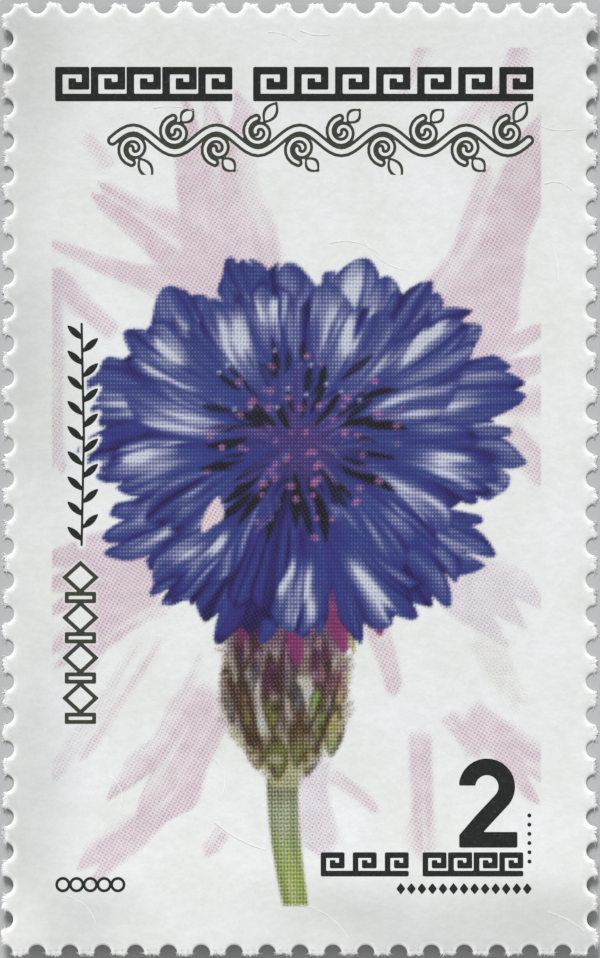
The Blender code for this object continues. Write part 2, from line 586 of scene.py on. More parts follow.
def middle_window(picture, size):
    """The part of the picture's grid round the flower's middle: its slices, and each place from there."""
    corners = [(FLOWER[0] - size, FLOWER[1] - size), (FLOWER[0] + size, FLOWER[1] + size)]
    area, x, y = picture.window(corners, 0)
    return area, x - FLOWER[0], y - FLOWER[1]


def fan_lobes(s, t, teeth, seed):
    """Which lobe of a fan each place belongs to, and how far it is across that lobe, from -1 to 1."""
    warp = 0.42 * NOISE.at(s * 1.1 + seed, t * 1.2 + seed) + 0.12 * NOISE.at(t * 5 + seed, s * 3 + seed)
    place = (s + 1) / 2 * teeth + warp + seed % 0.8 - 0.4
    lobe = np.floor(place)
    return lobe, 2 * (place - lobe) - 1


def fan_tone(s, t, lobe, u, fan, seed, rng):
    """How pale a fan is: folds, fine veins and gleams that run out from its throat."""
    tone, gleam = fan[6:8]
    value = tone + 0.18 * NOISE.at(s * 1.4 + seed, t * 2.5 + seed)
    veins = 0.12 * NOISE.at(s * 5.5 + seed, t * 1.8 + seed) + 0.12 * NOISE.at(s * 13 + seed, t * 2.5)
    value = value + veins * smooth(0.15, 0.45, t)
    patch = 0.7 + 0.5 * NOISE.at(s * 4 + seed, t * 5 + seed)
    for broad in (True, True, False, False, False):
        middle = rng.uniform(-0.8, 0.8) + rng.uniform(-1.0, 1.0) * (t - 0.7)
        spread = rng.uniform(0.14, 0.38) if broad else rng.uniform(0.04, 0.09)
        begin, end = rng.uniform(0.2, 0.5), rng.uniform(0.8, 1.05)
        run = smooth(begin, begin + 0.25, t) * smooth(end, end - 0.25, t)
        bow = 0.25 * NOISE.at(t * 2.2 + seed, middle)
        amount = gleam * rng.uniform(0.35, 1.0) * (1.0 if broad else 0.6)
        value = value + amount * run * patch * np.exp(-(((s - middle - bow) / spread) ** 2))
    bright = np.clip(NOISE.at(lobe * 5.3 + seed, 7.5), 0, 1)
    run = smooth(0.4, 0.7, t) * smooth(1.0, 0.8, t)
    value = value + 0.5 * gleam * bright * run * patch * np.exp(-(((u - 0.2) / 0.4) ** 2))
    for _ in range(2):
        fold = rng.uniform(-0.8, 0.8) + rng.uniform(-0.6, 0.6) * (t - 0.7)
        depth = rng.uniform(0.25, 0.6) * smooth(0.25, 0.55, t)
        value = value - depth * np.exp(-(((s - fold) / rng.uniform(0.05, 0.14)) ** 2))
    crease = smooth(0.6, 1.0, np.abs(u)) * smooth(0.55, 0.85, t)
    return value - 0.16 * crease - 0.2 * smooth(0.45, 0.2, t)


def fan_end(s, lobe, u, teeth, depth, seed, power):
    """The share of the length at which a fan ends, at each place across: round lobes between clefts."""
    cleft = depth * (0.75 + 0.75 * NOISE.at((lobe + (u > 0)) * 3.7 + seed, 2.5)) * np.abs(u) ** power
    height = NOISE.at(lobe * 2.3 + seed, 0.5)
    ragged = 0.025 * u * NOISE.at(lobe * 7.1 + seed, 5.5) + 0.008 * NOISE.at(s * 9 + seed, 1.5)
    return 1.0 - 0.13 * s**2 - cleft - 0.04 * (1 + height) + ragged


def paint_fan(picture, fan, rng, throat=None):
    """One trumpet floret, seen as a fan from its throat, or the flower's middle, out to a lobed end."""
    angle, reach, half, bend, teeth, depth = fan[:6]
    seed, power = rng.uniform(0, 60), rng.uniform(2.0, 3.2)
    start, tip = spot(angle, 0.12 * reach), spot(angle, reach * OVERRUN)
    if throat:
        start, turn = throat, math.radians(angle)
        length = reach * OVERRUN
        tip = (throat[0] + length * math.cos(turn), throat[1] + length * math.sin(turn))
    points = bent_line(start, tip, bend)
    area, x, y = picture.window(points, half + 0.4)
    t, across = line_coordinates(x, y, points)
    t = t * OVERRUN
    width = half * (0.12 + 0.88 * np.clip(t / 0.84, 0, 1) ** 0.8)
    width = width * (1 - 0.45 * smooth(0.80, 1.12, t))
    width = width * (1 + 0.12 * NOISE.at(t * 5 + angle, np.sign(across) + 5.5))
    s = across / width
    lobe, u = fan_lobes(np.clip(s, -1.1, 1.1), t, teeth, seed)
    side = np.abs(across) - width
    tip_gap = (t - fan_end(np.clip(s, -1, 1), lobe, u, teeth, depth, seed, power)) * reach
    beyond = np.maximum(side, tip_gap)
    soft, dark = (0.035, 0.32) if reach > 8 or throat else (0.16, 0.22)
    cast, blur = (0.75, 0.34) if throat else (dark, 0.2)
    shade = cast * np.exp(-(np.clip(beyond, 0, None) / blur) ** 2) * picture.inked[area]
    picture.mix(area, SHADOW, shade * smooth(0.35, 0.8, t))
    inside = smooth(soft, -soft, beyond) * smooth(0.0, 0.15, t)
    value = fan_tone(s, t, lobe, u, fan, seed, rng)
    rim = smooth(-0.7, 0.0, tip_gap) * (0.5 + 0.8 * NOISE.at(lobe * 1.9 + seed, u * 1.3))
    value = value - dark * rim - 0.2 * smooth(-0.3, 0.0, side) * smooth(0.3, 0.6, t)
    picture.mix(area, INK_BLUE, inside)
    for low, high, colour in [(-0.1, 0.22, MID), (0.15, 0.55, SOFT), (0.45, 1.0, PALE)]:
        picture.mix(area, colour, inside * smooth(low, high, value))
    picture.mix(area, SHADOW, inside * smooth(0.0, -0.45, value) * 0.9)
    picture.inked[area] = np.maximum(picture.inked[area], inside)


def paint_disc(picture):
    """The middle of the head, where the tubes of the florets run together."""
    area, dx, dy = middle_window(picture, 4.2)
    far, turn = np.hypot(dx, dy), np.arctan2(dy, dx)
    cover = smooth(2.6, 1.2, far + 0.5 * NOISE.at(turn * 4 + 20, 1.5))
    picture.mix(area, HEART, cover)
    mottle = NOISE.at(dx * 2.2 + 9, dy * 2.2 + 9)
    picture.mix(area, VIOLET, smooth(3.6, 0.5, far) * smooth(-0.3, 0.7, mottle) * 0.6)
    rays = NOISE.at(turn * 7 + 30, far * 0.8)
    picture.mix(area, HEART_RAY, smooth(4.0, 2.0, far) * smooth(0.25, 0.8, rays) * 0.5)
    picture.inked[area] = np.maximum(picture.inked[area], cover)


# Deep gaps round the middle: angle, and where each starts and ends.
WEDGES = [
    (31, 3.3, 5.0),
    (17, 2.0, 3.9),
    (10, 3.2, 4.9),
    (-12, 1.6, 4.4),
    (-33, 2.6, 4.9),
    (-52, 2.0, 3.6),
    (-70, 2.2, 4.6),
    (-92, 1.4, 3.2),
    (218, 1.8, 4.2),
    (196, 2.4, 4.4),
]


def paint_gaps(picture, rng):
    """Dark wedges between the florets' tubes, deepest below and at the right."""
    count = 38
    for i in range(count):
        angle = 360 * (i + rng.uniform(0.1, 0.9)) / count
        low_side = 0.5 - 0.5 * math.sin(math.radians(angle + 30))
        near = rng.uniform(1.0, 3.0)
        length = rng.uniform(0.7, 1.3) + low_side * rng.uniform(0.5, 1.5)
        ends = spot(angle, near), spot(angle + rng.uniform(-7, 7), near + length)
        width = rng.uniform(0.08, 0.16) + 0.09 * low_side
        strength = rng.uniform(0.6, 0.85) + 0.15 * low_side
        paint_streak(picture, ends, rng.uniform(-0.15, 0.15), 8, width, DARK, strength, 0.85)


def paint_tubes(picture, rng):
    """Slim blue tubes of the middle florets between deep gaps, most of them at the right and below."""
    for angle, near, far in WEDGES:
        ends = spot(angle, near), spot(angle + rng.uniform(-6, 6), far)
        paint_streak(picture, ends, 0.15, 8, rng.uniform(0.16, 0.26), DARK, 1.0, 0.8)
    for _ in range(32):
        angle, near = rng.uniform(0, 360), rng.uniform(0.4, 2.2)
        ends = spot(angle, near), spot(angle + rng.uniform(-14, 14), near + rng.uniform(1.2, 2.6))
        bend, colour = rng.uniform(-0.2, 0.2), rng.choice((INK_BLUE, MID, TUBE))
        paint_streak(picture, ends, bend, 8, rng.uniform(0.06, 0.13), colour, rng.uniform(0.6, 0.95))


def paint_anthers(picture):
    """Anther tubes as dark strokes with pale tips, pale filaments, and pink pollen spots."""
    rng = random.Random(HEART_SEED)
    paint_gaps(picture, rng)
    paint_tubes(picture, rng)
    for _ in range(30):
        angle, near = rng.uniform(0, 360), rng.uniform(0.8, 3.6)
        ends = spot(angle, near), spot(angle + rng.uniform(-10, 10), near + rng.uniform(0.5, 1.5))
        bend = rng.uniform(-0.2, 0.2)
        paint_streak(picture, ends, bend, 8, rng.uniform(0.05, 0.09), FILAMENT, rng.uniform(0.5, 0.9))
    count = 20
    for i in range(count):
        angle = 20 + 140 * (i + rng.uniform(0.1, 0.9)) / count
        near, length = rng.uniform(0.6, 3.6), rng.uniform(0.8, 1.6)
        a, b = spot(angle, near), spot(angle + rng.uniform(-5, 5), near + length)
        width, strength = rng.uniform(0.10, 0.19), rng.uniform(0.75, 1.0)
        paint_streak(picture, (a, b), 0.02, 6, width, DARK, strength)
        if rng.random() < 0.5:
            c = (b[0] + 0.03, b[1] + 0.12)
            paint_stroke(picture, [b, c], 0.09, PALE, 0.8)
    for _ in range(54):
        a = spot(rng.uniform(0, 360), rng.uniform(0.2, 5.4) ** 0.9)
        b = (a[0] + rng.uniform(-0.1, 0.1), a[1] + rng.uniform(-0.1, 0.1))
        paint_stroke(picture, [a, b], rng.uniform(0.09, 0.17), MAUVE, rng.uniform(0.5, 0.95), 0)


def paint_window(picture):
    """A gap low at the left of the head, where the paper shows pink between two florets."""
    rng = random.Random(WINDOW_SEED)
    for ends, half in ((((-4.2, -2.2), (-3.6, -0.9)), 0.3), (((-3.7, -1.9), (-3.5, -1.2)), 0.2)):
        paint_streak(picture, ends, rng.uniform(-0.1, 0.1), 8, half, PAPER_PINK)


def paint_ground(picture, radius=6.8):
    """Deep blue behind the florets, so that no paper shows between them near the middle."""
    area, dx, dy = middle_window(picture, radius)
    cover = smooth(radius, radius - 0.3, np.hypot(dx, dy))
    picture.mix(area, SHADOW, cover)
    picture.inked[area] = np.maximum(picture.inked[area], cover)


def paint_head(picture):
    """The whole flower head."""
    rng = random.Random(HEAD_SEED)
    paint_ground(picture)
    for fan in FLORETS + DROOPING:
        paint_fan(picture, fan, rng)
    for throat, fan in FRONT:
        paint_fan(picture, fan, rng, throat)
    paint_disc(picture)
    paint_anthers(picture)
    paint_window(picture)


# ----------------------------------------
# The pale petals behind, the scaly cup under the head, and the stem.

GHOST = (0.85, 0.785, 0.83)
GHOST_BLUE = (0.855, 0.82, 0.865)
GHOST_WARM = (0.86, 0.845, 0.82)

# Each pale petal: start, end, half widths at both in mm, teeth, strength, tint.
GHOSTS = [
    ((-2.2, 6.0), (-4.0, 16.9), 2.2, 1.7, 3, 1.0, GHOST),
    ((-3.3, 8.4), (-9.1, 12.7), 1.5, 0.6, 2, 1.0, GHOST),
    ((-4.0, 8.2), (-11.3, 10.5), 0.9, 0.12, 1, 0.9, GHOST),
    ((-8.3, 13.5), (-9.4, 15.1), 0.35, 0.25, 1, 0.6, GHOST),
    ((-7.9, 6.2), (-11.4, 9.1), 0.45, 0.6, 1, 0.9, GHOST),
    ((-10.7, 8.8), (-10.7, 0.2), 0.35, 0.45, 2, 0.9, GHOST_BLUE),
    ((-5.2, -3.3), (-11.6, -4.7), 1.3, 1.7, 3, 1.0, GHOST),
    ((-6.0, -4.8), (-10.7, -8.3), 1.1, 1.0, 3, 1.0, GHOST),
    ((-6.8, -6.8), (-10.9, -13.2), 0.15, 0.35, 1, 0.5, GHOST_BLUE),
    ((-5.9, -6.8), (-9.6, -12.3), 0.12, 0.25, 1, 0.6, GHOST),
    ((-4.2, -7.4), (-5.4, -10.2), 0.12, 0.3, 1, 0.6, GHOST_BLUE),
    ((-3.5, -9.0), (-7.1, -14.9), 1.1, 1.8, 3, 1.0, GHOST),
    ((-4.8, -13.2), (-9.4, -17.4), 0.4, 0.8, 2, 0.9, GHOST),
    ((-3.3, -15.3), (-4.1, -16.5), 0.35, 0.35, 1, 0.7, GHOST),
    ((0.6, -12.0), (1.1, -16.6), 0.75, 0.75, 1, 0.9, GHOST_BLUE),
    ((1.3, -12.8), (3.4, -14.6), 0.3, 0.2, 1, 0.8, GHOST),
    ((5.3, -10.8), (5.4, -16.6), 0.5, 0.55, 1, 0.9, GHOST),
    ((6.4, -10.2), (7.9, -12.2), 0.4, 0.5, 1, 0.9, GHOST),
    ((7.2, -9.9), (11.2, -13.4), 0.6, 1.3, 3, 0.9, GHOST),
    ((5.0, -2.4), (9.9, -6.6), 1.4, 1.6, 3, 0.8, GHOST_BLUE),
    ((3.0, -5.4), (4.1, -9.5), 0.55, 0.3, 1, 0.9, GHOST),
    ((7.9, -6.6), (9.8, -10.1), 0.7, 0.4, 2, 0.5, GHOST_WARM),
    ((6.4, 3.6), (11.6, 5.2), 1.5, 1.9, 3, 1.0, GHOST),
    ((8.9, 2.2), (11.1, -0.4), 0.6, 0.6, 2, 0.8, GHOST),
    ((8.7, 5.5), (9.2, 8.3), 0.2, 0.35, 1, 0.7, GHOST_BLUE),
    ((6.0, 4.8), (10.9, 15.8), 2.2, 0.9, 2, 1.0, GHOST),
    ((6.7, 9.6), (8.3, 13.7), 0.15, 0.4, 1, 0.8, GHOST),
    ((8.8, 15.2), (9.7, 19.4), 0.5, 0.5, 1, 0.8, GHOST),
    ((6.8, 15.0), (8.5, 17.2), 0.3, 0.45, 1, 0.7, GHOST),
    ((4.4, 16.4), (5.6, 19.3), 0.2, 0.45, 1, 0.7, GHOST),
]


def paint_ghost(picture, ghost, seed):
    """One pale petal: flat in tone, toothed at its end, with edges soft in places and a few streaks."""
    start, end, near, far, teeth, strength, tint = ghost
    rng = random.Random(seed)
    length = math.dist(start, end)
    beyond = (end[0] + (end[0] - start[0]) * (OVERRUN - 1), end[1] + (end[1] - start[1]) * (OVERRUN - 1))
    points = bent_line(start, beyond, rng.uniform(-0.3, 0.3) * min(1.0, near))
    area, x, y = picture.window(points, max(near, far) + 0.4)
    t, across = line_coordinates(x, y, points)
    t = t * OVERRUN
    wobble = 1 + 0.35 * NOISE.at(t * length * 0.6 + seed, np.sign(across) + 3.5)
    width = (near + (far - near) * t) * wobble
    s = across / width
    wedge = np.abs((s + 1) * teeth / 2 % 1 - 0.5) * 2
    reach = 1.1 * far * wedge**1.3 * (1 + 0.5 * NOISE.at(s * 1.5 + seed, 4.5))
    tip_gap = (t - 1) * length + reach
    soft = 0.14 + 0.3 * smooth(0.0, 0.6, NOISE.at(x * 0.5 + seed, y * 0.5))
    inside = smooth(soft, -soft, np.maximum(np.abs(across) - width, tip_gap)) * smooth(0.0, 0.12, t)
    inside = inside * smooth(OVERRUN, OVERRUN - 0.03, t)
    streaks = NOISE.at(s * 2.5 + seed * 3.1, t * length * 0.2)
    streaks = streaks + 0.4 * NOISE.at(s * 7 + seed, t * length * 0.3)
    mottle = 0.9 + 0.2 * NOISE.at(x * 2.3 + seed, y * 2.3)
    amount = inside * (0.45 + 0.55 * smooth(-0.85, -0.2, streaks)) * strength * mottle
    picture.mix(area, tint, amount)


CUP_TOP, CUP_BOTTOM, CUP_MIDDLE = -6.0, -13.5, -0.65
PLUM, ROSE, GREY = (0.30, 0.17, 0.26), (0.54, 0.34, 0.43), (0.32, 0.32, 0.35)
BROWN, MOSS, GRASS, STRAW = (0.31, 0.23, 0.15), (0.38, 0.39, 0.18), (0.48, 0.57, 0.31), (0.61, 0.57, 0.33)

# Scales of the cup from the back to the front: base, tip, half width, and the colours above and below.
SCALES = [
    ((-2.2, -9.6), (-2.35, -5.9), 0.75, PLUM, GREY),
    ((-0.5, -9.9), (-0.6, -6.6), 0.50, PLUM, GREY),
    ((1.0, -10.2), (0.75, -6.4), 0.60, PLUM, ROSE),
    ((1.6, -10.6), (1.95, -7.6), 0.45, ROSE, STRAW),
    ((-2.9, -11.0), (-3.3, -7.9), 0.40, BROWN, GREY),
    ((-2.0, -12.0), (-2.7, -8.4), 0.42, BROWN, MOSS),
    ((-1.2, -11.4), (-1.35, -7.4), 0.62, PLUM, MOSS),
    ((0.1, -11.6), (-0.35, -8.5), 0.42, GREY, MOSS),
    ((0.7, -11.8), (0.75, -8.8), 0.50, GRASS, MOSS),
    ((1.3, -12.3), (1.7, -9.9), 0.50, STRAW, GRASS),
    ((-1.8, -12.9), (-2.2, -10.6), 0.48, BROWN, STRAW),
    ((-0.2, -12.8), (0.05, -9.8), 0.58, BROWN, MOSS),
    ((-1.0, -13.3), (-1.15, -11.1), 0.62, MOSS, MOSS),
    ((0.2, -13.1), (0.75, -11.5), 0.40, STRAW, MOSS),
]
SCALE_RIM, SCALE_SHADE = (0.27, 0.19, 0.17), (0.19, 0.15, 0.14)
SCALE_KEEL, SCALE_BLOOM = (0.60, 0.58, 0.50), (0.70, 0.67, 0.66)
CUP_DOWN, CUP_EARTH = (0.69, 0.68, 0.66), (0.42, 0.36, 0.32)
CUP_FOOT, CUP_CROWN = (0.60, 0.59, 0.40), (0.30, 0.18, 0.27)
DOWN_TONES = [(0.68, 0.65, 0.64), (0.70, 0.67, 0.54), (0.54, 0.47, 0.46)]
CREASE = (0.25, 0.18, 0.15)
CUP_SEED, DOWN_HAIRS = 8, 110

# Dark creases that run down the cup between its scales.
CREASES = [
    ((-3.25, -7.6), (-2.3, -11.6)),
    ((-2.9, -7.2), (-1.6, -12.4)),
    ((-0.9, -7.8), (-0.7, -11.0)),
    ((1.9, -8.0), (0.5, -12.6)),
    ((1.4, -7.6), (0.3, -11.2)),
    ((-1.9, -7.0), (-2.9, -9.2)),
]


def cup_half_width(y):
    """Half width of the cup at a height: broad from its top to below its middle, then drawn in."""
    share = np.clip((y - CUP_BOTTOM) / (CUP_TOP - CUP_BOTTOM), 0, 1)
    return 0.5 + 2.3 * smooth(-0.05, 0.45, share) * (1 - 0.10 * smooth(0.5, 1.0, share))


def paint_scale(picture, base, tip, half, upper, lower, rng):
    """One scale: a pointed leaf with dark outlines that run on below it, and a paler keel."""
    points = bent_line(base, tip, rng.uniform(-0.08, 0.08), 12)
    area, x, y = picture.window(points, half + 0.3)
    t, across = line_coordinates(x, y, points)
    teeth = 0.05 * NOISE.at(t * 22 + rng.uniform(0, 40), np.sign(across) + 0.5)
    side = np.abs(across) - 0.85 * half * np.sin(np.pi * np.clip(t, 0.02, 0.98) ** 1.1) ** 0.9 - teeth
    inside = smooth(0.06, -0.06, side) * smooth(0.0, 0.15, t)
    middle = inside * smooth(-0.04, -0.16, side)
    picture.mix(area, SCALE_RIM, inside * 0.75)
    picture.mix(area, lower, middle)
    picture.mix(area, upper, middle * smooth(0.25, 0.6, t))
    keel = np.exp(-((across / 0.12) ** 2)) * smooth(0.05, 0.3, t) * smooth(0.7, 0.5, t)
    mottle = NOISE.at(x * 3.4 + 3, y * 2.2 + 8)
    picture.glaze(
        area,
        middle,
        (SCALE_KEEL, keel * 0.4),
        (SCALE_SHADE, smooth(0.1, 0.7, mottle) * 0.6),
        (SCALE_BLOOM, smooth(-0.35, -0.8, mottle) * 0.5),
    )


def paint_cup(picture):
    """The scaly cup under the head: pale and downy at its sides, with dark pointed scales."""
    rng = random.Random(CUP_SEED)
    area, x, y = picture.window([(-4.4, CUP_BOTTOM), (3.4, CUP_TOP)], 0.3)
    half = cup_half_width(y) + 0.12 * NOISE.at(y * 5, np.sign(x - CUP_MIDDLE) + 7.5)
    edge = np.abs(x - CUP_MIDDLE) - half
    inside = smooth(0.2, -0.4, edge) * smooth(CUP_BOTTOM - 0.1, CUP_BOTTOM + 0.1, y)
    patches = NOISE.at(x * 1.8 + 4, y * 1.1)
    picture.glaze(
        area,
        inside,
        (CUP_DOWN, 0.92),
        (CUP_EARTH, smooth(-0.3, 0.5, patches) * smooth(0.1, -0.9, edge) * 0.8),
        (CUP_FOOT, smooth(-10.5, -12.5, y) * 0.7),
        (CUP_CROWN, smooth(-8.4, -6.8, y) * 0.75),
    )
    for scale in SCALES:
        paint_scale(picture, *scale, rng)
    for ends in CREASES:
        paint_streak(picture, ends, rng.uniform(-0.1, 0.15), 10, 0.1, CREASE, 0.75)
    for _ in range(DOWN_HAIRS):
        y0 = rng.uniform(CUP_BOTTOM + 0.5, CUP_TOP - 1.4)
        side = rng.choice((-1, 1))
        edge = CUP_MIDDLE + side * (float(cup_half_width(np.asarray(y0))) - rng.uniform(0.0, 0.4))
        end = (edge + side * rng.uniform(0.15, 0.45), y0 + rng.uniform(0.0, 0.25))
        tone = rng.choice(DOWN_TONES)
        paint_stroke(picture, [(edge, y0), end], rng.uniform(0.04, 0.09), tone, rng.uniform(0.4, 0.8))


# Slips of deep pink and straw yellow that show between the cup and the hanging florets.
SLIPS = [
    ((-0.5, -6.2), (-0.1, -8.1), 0.34, MAGENTA),
    ((1.1, -4.6), (1.9, -7.4), 0.50, MAGENTA),
    ((2.9, -5.2), (3.5, -6.7), 0.38, MAGENTA),
    ((-2.5, -5.6), (-2.6, -7.2), 0.30, (0.42, 0.18, 0.32)),
    ((1.9, -5.6), (2.35, -7.6), 0.14, (0.60, 0.58, 0.34)),
]


def paint_slips(picture):
    """The slips of colour under the head."""
    for *ends, half, colour in SLIPS:
        paint_streak(picture, ends, 0.08, 8, half, colour, 0.9)


STEM_TOP, STEM_FOOT = -13.2, -18.6
STEM_LEFT, STEM_RIGHT = (-1.45, -0.75), (-0.1, 0.35)  # each side's place at the top and at the foot
STEM_GREY, STEM_GREEN = (0.62, 0.64, 0.54), (0.58, 0.64, 0.35)
STEM_LEFT_SHADE, STEM_RIGHT_SHADE = (0.42, 0.45, 0.28), (0.44, 0.48, 0.29)
STEM_RIB, STEM_FURROW, STEM_NECK = (0.68, 0.70, 0.55), (0.34, 0.36, 0.24), (0.40, 0.38, 0.28)


def paint_stem(picture):
    """The stem, a little bent and ribbed along its length, cut off square at the print's foot."""
    area, x, y = picture.window([(-1.8, STEM_FOOT), (0.7, -13.0)], 0)
    share = np.clip((STEM_TOP - y) / (STEM_TOP - STEM_FOOT), 0, 1)
    left, right = (top + (foot - top) * share**1.7 for top, foot in (STEM_LEFT, STEM_RIGHT))
    s = (x - left) / (right - left)
    inside = smooth(-0.04, 0.04, s) * smooth(1.04, 0.96, s)
    ribs = NOISE.at(s * 5 + 2, y * 0.5)
    picture.glaze(
        area,
        inside,
        (STEM_GREY, 1.0),
        (STEM_GREEN, smooth(-14.6, -17.6, y)),
        (STEM_LEFT_SHADE, smooth(0.45, 0.0, s) * 0.5),
        (STEM_RIGHT_SHADE, smooth(0.75, 1.0, s) * 0.35),
        (STEM_RIB, smooth(0.2, 0.8, ribs) * 0.7),
        (STEM_FURROW, smooth(-0.4, -0.9, ribs) * 0.4),
        (STEM_NECK, smooth(-14.6, -13.4, y) * 0.6),
    )


def paint_picture():
    """The whole print but its line work."""
    picture = Picture()
    for seed, ghost in enumerate(GHOSTS):
        paint_ghost(picture, ghost, seed)
    paint_stem(picture)
    paint_cup(picture)
    paint_slips(picture)
    paint_head(picture)
    knock_out(picture)
    return picture


# ----------------------------------------
# Line work: shapes given by their distance outside the printed line, below zero on it. The ornaments are
# plain traditional ones: key borders, scrolls, a sprig, lozenges, rings, and the figure two.

TITLE_STROKE, VALUE_STROKE = 0.165, 0.125
SCROLL_OUTLINE, CHAIN_OUTLINE = 0.065, 0.085


def box_distance(x, y, left, right, bottom, top):
    """Distance outside an upright box, by its sides."""
    return np.maximum(np.maximum(left - x, x - right), np.maximum(bottom - y, y - top))


def bars_distance(x, y, path, half):
    """Distance outside a path of level and upright bars with square corners."""
    found = np.full(x.shape, 9.0)
    for (x0, y0), (x1, y1) in zip(path, path[1:]):
        left, right = min(x0, x1) - half, max(x0, x1) + half
        bottom, top = min(y0, y1) - half, max(y0, y1) + half
        found = np.minimum(found, box_distance(x, y, left, right, bottom, top))
    return found


def key_border(x, y, left, right, bottom, top, half):
    """A key border: square hooks on a base line, as many as fit between left and right."""
    unit = (top - bottom - 2 * half) / 4
    room = right - left - 2 * half - 4 * unit
    count = round(room / (5.7 * unit))
    base = bottom + half
    found = bars_distance(x, y, [(left + half, base), (right - half, base)], half)
    for i in range(count + 1):
        start = left + half + room * i / count
        hook = [(0, 0), (0, 4), (4, 4), (4, 1.75), (2, 1.75), (2, 2.3)]
        path = [(start + unit * u, base + unit * v) for u, v in hook]
        found = np.minimum(found, bars_distance(x, y, path, half))
    return found


def line_distance(x, y, points, half):
    """Distance outside a line of even width along points."""
    return np.abs(line_coordinates(x, y, points)[1]) - half


def leaf_distance(x, y, base, tip, half):
    """Distance outside a leaf that is pointed at both ends."""
    length = math.dist(base, tip)
    along = ((x - base[0]) * (tip[0] - base[0]) + (y - base[1]) * (tip[1] - base[1])) / length**2
    across = ((x - base[0]) * (tip[1] - base[1]) - (y - base[1]) * (tip[0] - base[0])) / length
    inner = np.abs(across) - half * np.sin(np.pi * np.clip(along, 0, 1)) ** 0.8
    return np.maximum(inner, np.maximum(-along, along - 1) * length)


def ring_distance(x, y, centre, radius, half):
    """Distance outside a ring."""
    return np.abs(np.hypot(x - centre[0], y - centre[1]) - radius) - half


def lozenge_distance(x, y, centre, half_x, half_y):
    """Distance outside a lozenge."""
    reach = np.abs(x - centre[0]) / half_x + np.abs(y - centre[1]) / half_y
    return (reach - 1) * half_x * half_y / math.hypot(half_x, half_y)


def nearest(parts):
    """The distance outside several shapes together."""
    return np.minimum.reduce(list(parts))


def two_borders(bottom, top, half, *spans):
    """The shape of key borders of one height, in several lengths."""
    return lambda x, y: nearest(key_border(x, y, *span, bottom, top, half) for span in spans)


def row_of(count, one):
    """The shape of a row: one(x, y, i) is the distance outside its shape number i."""
    return lambda x, y: nearest(one(x, y, i) for i in range(count))


def outline_of(shape, half):
    """The shape of an even line along another shape's edge."""
    return lambda x, y: np.abs(shape(x, y)) - half


SCROLL_MIDDLE, SCROLL_STEP, SCROLL_LEFT, SCROLL_COUNT = 14.8, 1.82, -8.2, 10


def scroll(x, y):
    """A running scroll: a waving stem with a curl and a leaf in every bend."""
    steps = np.linspace(0, SCROLL_COUNT, SCROLL_COUNT * 8 + 1)
    stem = [
        (SCROLL_LEFT + SCROLL_STEP * u, SCROLL_MIDDLE + 0.5 * math.sin(math.pi * u))
        for u in steps
    ]
    parts = [line_distance(x, y, stem, 0.17)]
    for i in range(SCROLL_COUNT):
        side = 1 if i % 2 else -1
        middle = (SCROLL_LEFT + SCROLL_STEP * (i + 0.52), SCROLL_MIDDLE + 0.36 * side)
        curl = []
        for k in range(22):
            a, radius = math.radians(100 + 21 * k), 0.62 - 0.022 * k
            curl.append((middle[0] + radius * math.cos(a), middle[1] + side * radius * math.sin(a)))
        parts.append(line_distance(x, y, curl, 0.13))
        leaf = (middle[0] + 0.25, middle[1] + 0.45 * side)
        tip = (middle[0] + 0.75, middle[1] + side * (1.25 if i % 3 == 0 else 0.95))
        parts.append(leaf_distance(x, y, leaf, tip, 0.26))
    return nearest(parts)


def sprig(x, y):
    """A slim upright sprig with slanting leaves."""
    parts = [line_distance(x, y, [(-9.55, -2.9), (-9.45, 1.9), (-9.55, 6.8)], 0.05)]
    for i in range(17):
        side = 1 if i % 2 else -1
        base = (-9.5, -2.7 + 0.55 * i)
        parts.append(leaf_distance(x, y, base, (base[0] + 0.68 * side, base[1] + 0.62), 0.15))
    return nearest(parts)


def lozenge_chain(x, y):
    """An upright chain of lozenges and bars."""
    parts = []
    for i in range(8):
        middle = (-9.6, -4.3 - 0.88 * i)
        if i % 2:
            parts.append(box_distance(x, y, -10.2, -9.0, middle[1] - 0.16, middle[1] + 0.16))
        else:
            parts.append(lozenge_distance(x, y, middle, 0.68, 0.62))
    return nearest(parts)


def figure_two(x, y):
    """The figure two: a bowl, a diagonal and a foot."""
    middle, radius, half = (8.17, -13.45), 0.87, 0.36
    turns = [math.radians(178 - 12 * k) for k in range(19)]
    bowl = [(middle[0] + radius * math.cos(a), middle[1] + radius * math.sin(a)) for a in turns]
    diagonal = [(7.95, -14.95), (6.6, -16.52)]
    curve = line_distance(x, y, bowl + diagonal, half)
    cut = np.where(x < middle[0] - 0.2, np.where(y > -14.3, middle[1] + 0.05 - y, -9), -9)
    curve = np.maximum(np.maximum(curve, cut), box_distance(x, y, 6.95, 9.5, -16.1, -12.0))
    return np.minimum(curve, box_distance(x, y, 7.3, 9.5, -16.1, -15.42))


